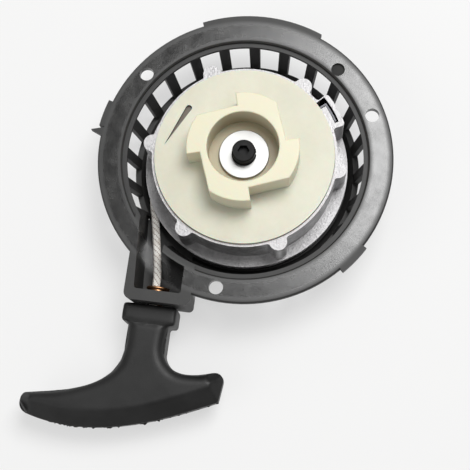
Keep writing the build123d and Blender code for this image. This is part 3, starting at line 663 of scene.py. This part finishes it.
def makeRopeTail():
    # plain core that stretches out of the eyelet when the handle is pulled
    start = pullPlace(0, -rope["tailStart"], rope["exitHeight"])
    rings = rope["tailRings"]
    sides = rope["tailSides"]
    radius = rope["radius"]
    vertices = []
    faces = []
    for ring in range(rings + 1):
        centre = start + alongPull * rope["tailLength"] * ring / rings
        for step in range(sides):
            angle = 2 * math.pi * step / sides
            lift = Vector((0, 0, radius * math.sin(angle)))
            vertices.append(centre + acrossPull * radius * math.cos(angle) + lift)
    for ring in range(rings):
        for step in range(sides):
            near = ring * sides + step
            beside = ring * sides + (step + 1) % sides
            faces.append((near, beside, beside + sides, near + sides))
    faces.append(tuple(reversed(range(sides))))
    faces.append(tuple(range(rings * sides, (rings + 1) * sides)))
    mesh = bpy.data.meshes.new("ropeTail")
    mesh.from_pydata(vertices, [], faces)
    mesh.validate()
    fixNormals(mesh)
    mesh.shade_smooth()
    mesh.materials.append(ropeTailCord)
    tail = linkObject("ropeTail", mesh)
    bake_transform(tail)
    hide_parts("rope_run_outer")


def fixNormals(mesh):
    work = bmesh.new()
    work.from_mesh(mesh)
    bmesh.ops.recalc_face_normals(work, faces=work.faces)
    work.to_mesh(mesh)
    work.free()


grip = {
    "voxel": 0.8 * mm,
    "smoothing": 3,
    "outerBevel": 7.5 * mm,  # width of the sloped band on the grip's outer side
    "outerEdge": 3.0 * mm,  # half thickness left at that side's edge
    "innerRound": 5.0 * mm,
    "innerEdge": 4.5 * mm,
    "endBevel": 5.5 * mm,
    "stemStart": 11.5 * mm,
    "flashReach": 3.4 * mm,
    "flashThickness": 0.6 * mm,
    "flashRaggedness": 300.0,
    "flashSeed": 3.0,
    "flashStep": 0.35 * mm,
    "flashSink": 0.4 * mm,  # how far the flash starts inside the grip's edge
}
# the grip's outline in millimetres, across and along the pull
outerSide = [(-50.5, 59.5), (-34.6, 62.0), (-15.5, 61.0), (7.4, 55.3), (37.6, 42.6)]
farEnd = [(37.6, 42.6), (38.7, 33.5), (37.6, 30.2), (34.5, 29.1)]
nearEnd = [(-50.5, 59.5), (-55.6, 53.0), (-54.5, 49.8)]
rightSide = [(34.5, 29.1), (26.0, 31.4), (16.0, 31.0), (9.6, 24.0), (9.6, 10.0)]
leftSide = [(-54.5, 49.8), (-32.5, 45.3), (-14.5, 35.5), (-9.6, 24.0), (-9.6, 10.0)]


def flatLine(points, steps=10):
    return smoothLine([Vector((x * mm, y * mm)) for x, y in points], steps)


def makeHandle():
    low, high = (Vector(corner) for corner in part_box("pull_handle"))
    middle = (low.z + high.z) / 2
    half = (high.z - low.z) / 2
    source = nodes["pull_handle"]
    mesh = source.data.copy()
    work = bmesh.new()
    work.from_mesh(mesh)
    bmesh.ops.remove_doubles(work, verts=work.verts, dist=1e-6)
    work.to_mesh(mesh)
    work.free()
    body = linkObject("handleBody", mesh)
    remesh = body.modifiers.new("remesh", "REMESH")
    remesh.mode = "VOXEL"
    remesh.voxel_size = grip["voxel"]
    graph = bpy.context.evaluated_depsgraph_get()
    dense = bpy.data.meshes.new_from_object(body.evaluated_get(graph))
    body.modifiers.remove(remesh)
    body.data = dense
    outer = flatLine(outerSide)
    ends = flatLine(farEnd)
    tip = flatLine(nearEnd)
    sides = flatLine(rightSide), flatLine(leftSide)
    mouth = pullPlace(0, 0, 0)
    for vertex in dense.vertices:
        place = vertex.co - mouth
        point = Vector((place.dot(acrossPull), place.dot(alongPull)))
        if point.y < grip["stemStart"]:
            continue
        limit = half
        for line, bevel in ((outer, grip["outerBevel"]), (ends, grip["endBevel"]), (tip, grip["endBevel"])):
            reach = lineDistance(point, line)
            if reach < bevel:
                limit = min(limit, grip["outerEdge"] + (half - grip["outerEdge"]) * reach / bevel)
        for line in sides:
            reach = lineDistance(point, line)
            if reach < grip["innerRound"]:
                share = 1 - reach / grip["innerRound"]
                limit = min(limit, grip["innerEdge"] + (half - grip["innerEdge"]) * math.sqrt(1 - share ** 2))
        height = vertex.co.z - middle
        vertex.co.z = middle + max(-limit, min(limit, height))
    smooth = body.modifiers.new("smooth", "SMOOTH")
    smooth.iterations = grip["smoothing"]
    smooth.factor = 0.5
    graph = bpy.context.evaluated_depsgraph_get()
    final = bpy.data.meshes.new_from_object(body.evaluated_get(graph))
    body.modifiers.remove(smooth)
    body.data = final
    final.materials.clear()
    final.materials.append(handlePlastic)
    final.shade_smooth()
    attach(body, "handle")
    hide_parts("pull_handle")
    values = {"Thickness": grip["flashThickness"], "Reach": grip["flashReach"],
              "Raggedness": grip["flashRaggedness"], "Step": grip["flashStep"],
              "Seed": grip["flashSeed"], "Material": handlePlastic}
    line = [pullPlace(point.x, point.y - grip["flashSink"], middle) for point in flatLine(outerSide, 24)]
    flash = treeToMesh("handleFlash", line, flashTree, values)
    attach(flash, "handle")


print("stage: camera and studio")
makeCamera()
makeSoftbox("key", studio["keyPlace"], studio["keySize"], studio["keyPower"])
makeSoftbox("fill", studio["fillPlace"], studio["fillSize"], studio["fillPower"])
makeWorld()
makeFloor()

print("stage: materials")
grainGroup = makeGrainGroup()
blackNylon = makeBlackNylon()
handlePlastic = grainMaterial("handlePlastic", (0.016, 0.016, 0.016), (0.009, 0.009, 0.009), 70, 2200, (0.4, 0.56),
                              (0.15, 0.0003), Specular_IOR_Level=0.38)
naturalNylon = makeNaturalNylon()
castAluminium = makeCasting()
zincSteel = grainMaterial("zincSteel", (0.5, 0.5, 0.49), (0.43, 0.43, 0.42), 120, 3000, (0.38, 0.52),
                          (0.05, 0.0001), Metallic=1.0)
turnedSteel = grainMaterial("turnedSteel", (0.6, 0.6, 0.61), (0.5, 0.5, 0.5), 120, 3000, (0.25, 0.4),
                            (0.05, 0.0001), Metallic=1.0)
blackOxide = grainMaterial("blackOxide", (0.008, 0.008, 0.008), (0.004, 0.004, 0.004), 200, 3000, (0.5, 0.7),
                           (0.1, 0.0001), Specular_IOR_Level=0.25)
springStrip = grainMaterial("springStrip", (0.12, 0.12, 0.13), (0.05, 0.05, 0.055), 150, 2400, (0.3, 0.5),
                            (0.08, 0.0001), Metallic=1.0)
copperBrass = grainMaterial("copperBrass", (0.62, 0.34, 0.17), (0.4, 0.2, 0.1), 260, 2400, (0.3, 0.5),
                            (0.1, 0.0002), Metallic=1.0)
ropeCord = makeRopeMaterial("ropeCord", True)
ropeTailCord = makeRopeMaterial("ropeTailCord", False)

finishes = {
    "housing": blackNylon,
    "rope_eyelet": copperBrass,
    "post_insert": copperBrass,
    "post_sleeve": turnedSteel,
    "retaining_washer": zincSteel,
    "lock_washer": blackOxide,
    "centre_screw": blackOxide,
    "reel": castAluminium,
    "main_spring": springStrip,
    "spring_cover": zincSteel,
    "cover_rivet_1": zincSteel,
    "cover_rivet_2": zincSteel,
    "cover_rivet_3": zincSteel,
    "rope_coil": ropeTailCord,
    "reel_rope_knot": ropeTailCord,
    "buffer_spring": springStrip,
    "driver_cup": naturalNylon,
    "rope_run_inner": ropeTailCord,
    "rope_run_outer": ropeTailCord,
    "handle_knot": ropeTailCord,
    "handle_rope_washer": zincSteel,
    "pull_handle": handlePlastic,
}
for nodeName, material in finishes.items():
    for slot in nodes[nodeName].material_slots:
        slot.material = material

print("stage: rope")
braidTree = makeBraidTree()
makeRopeRun()
makeRopeTail()

print("stage: handle")
flashTree = makeFlashTree()
makeHandle()

print("stage: finish")
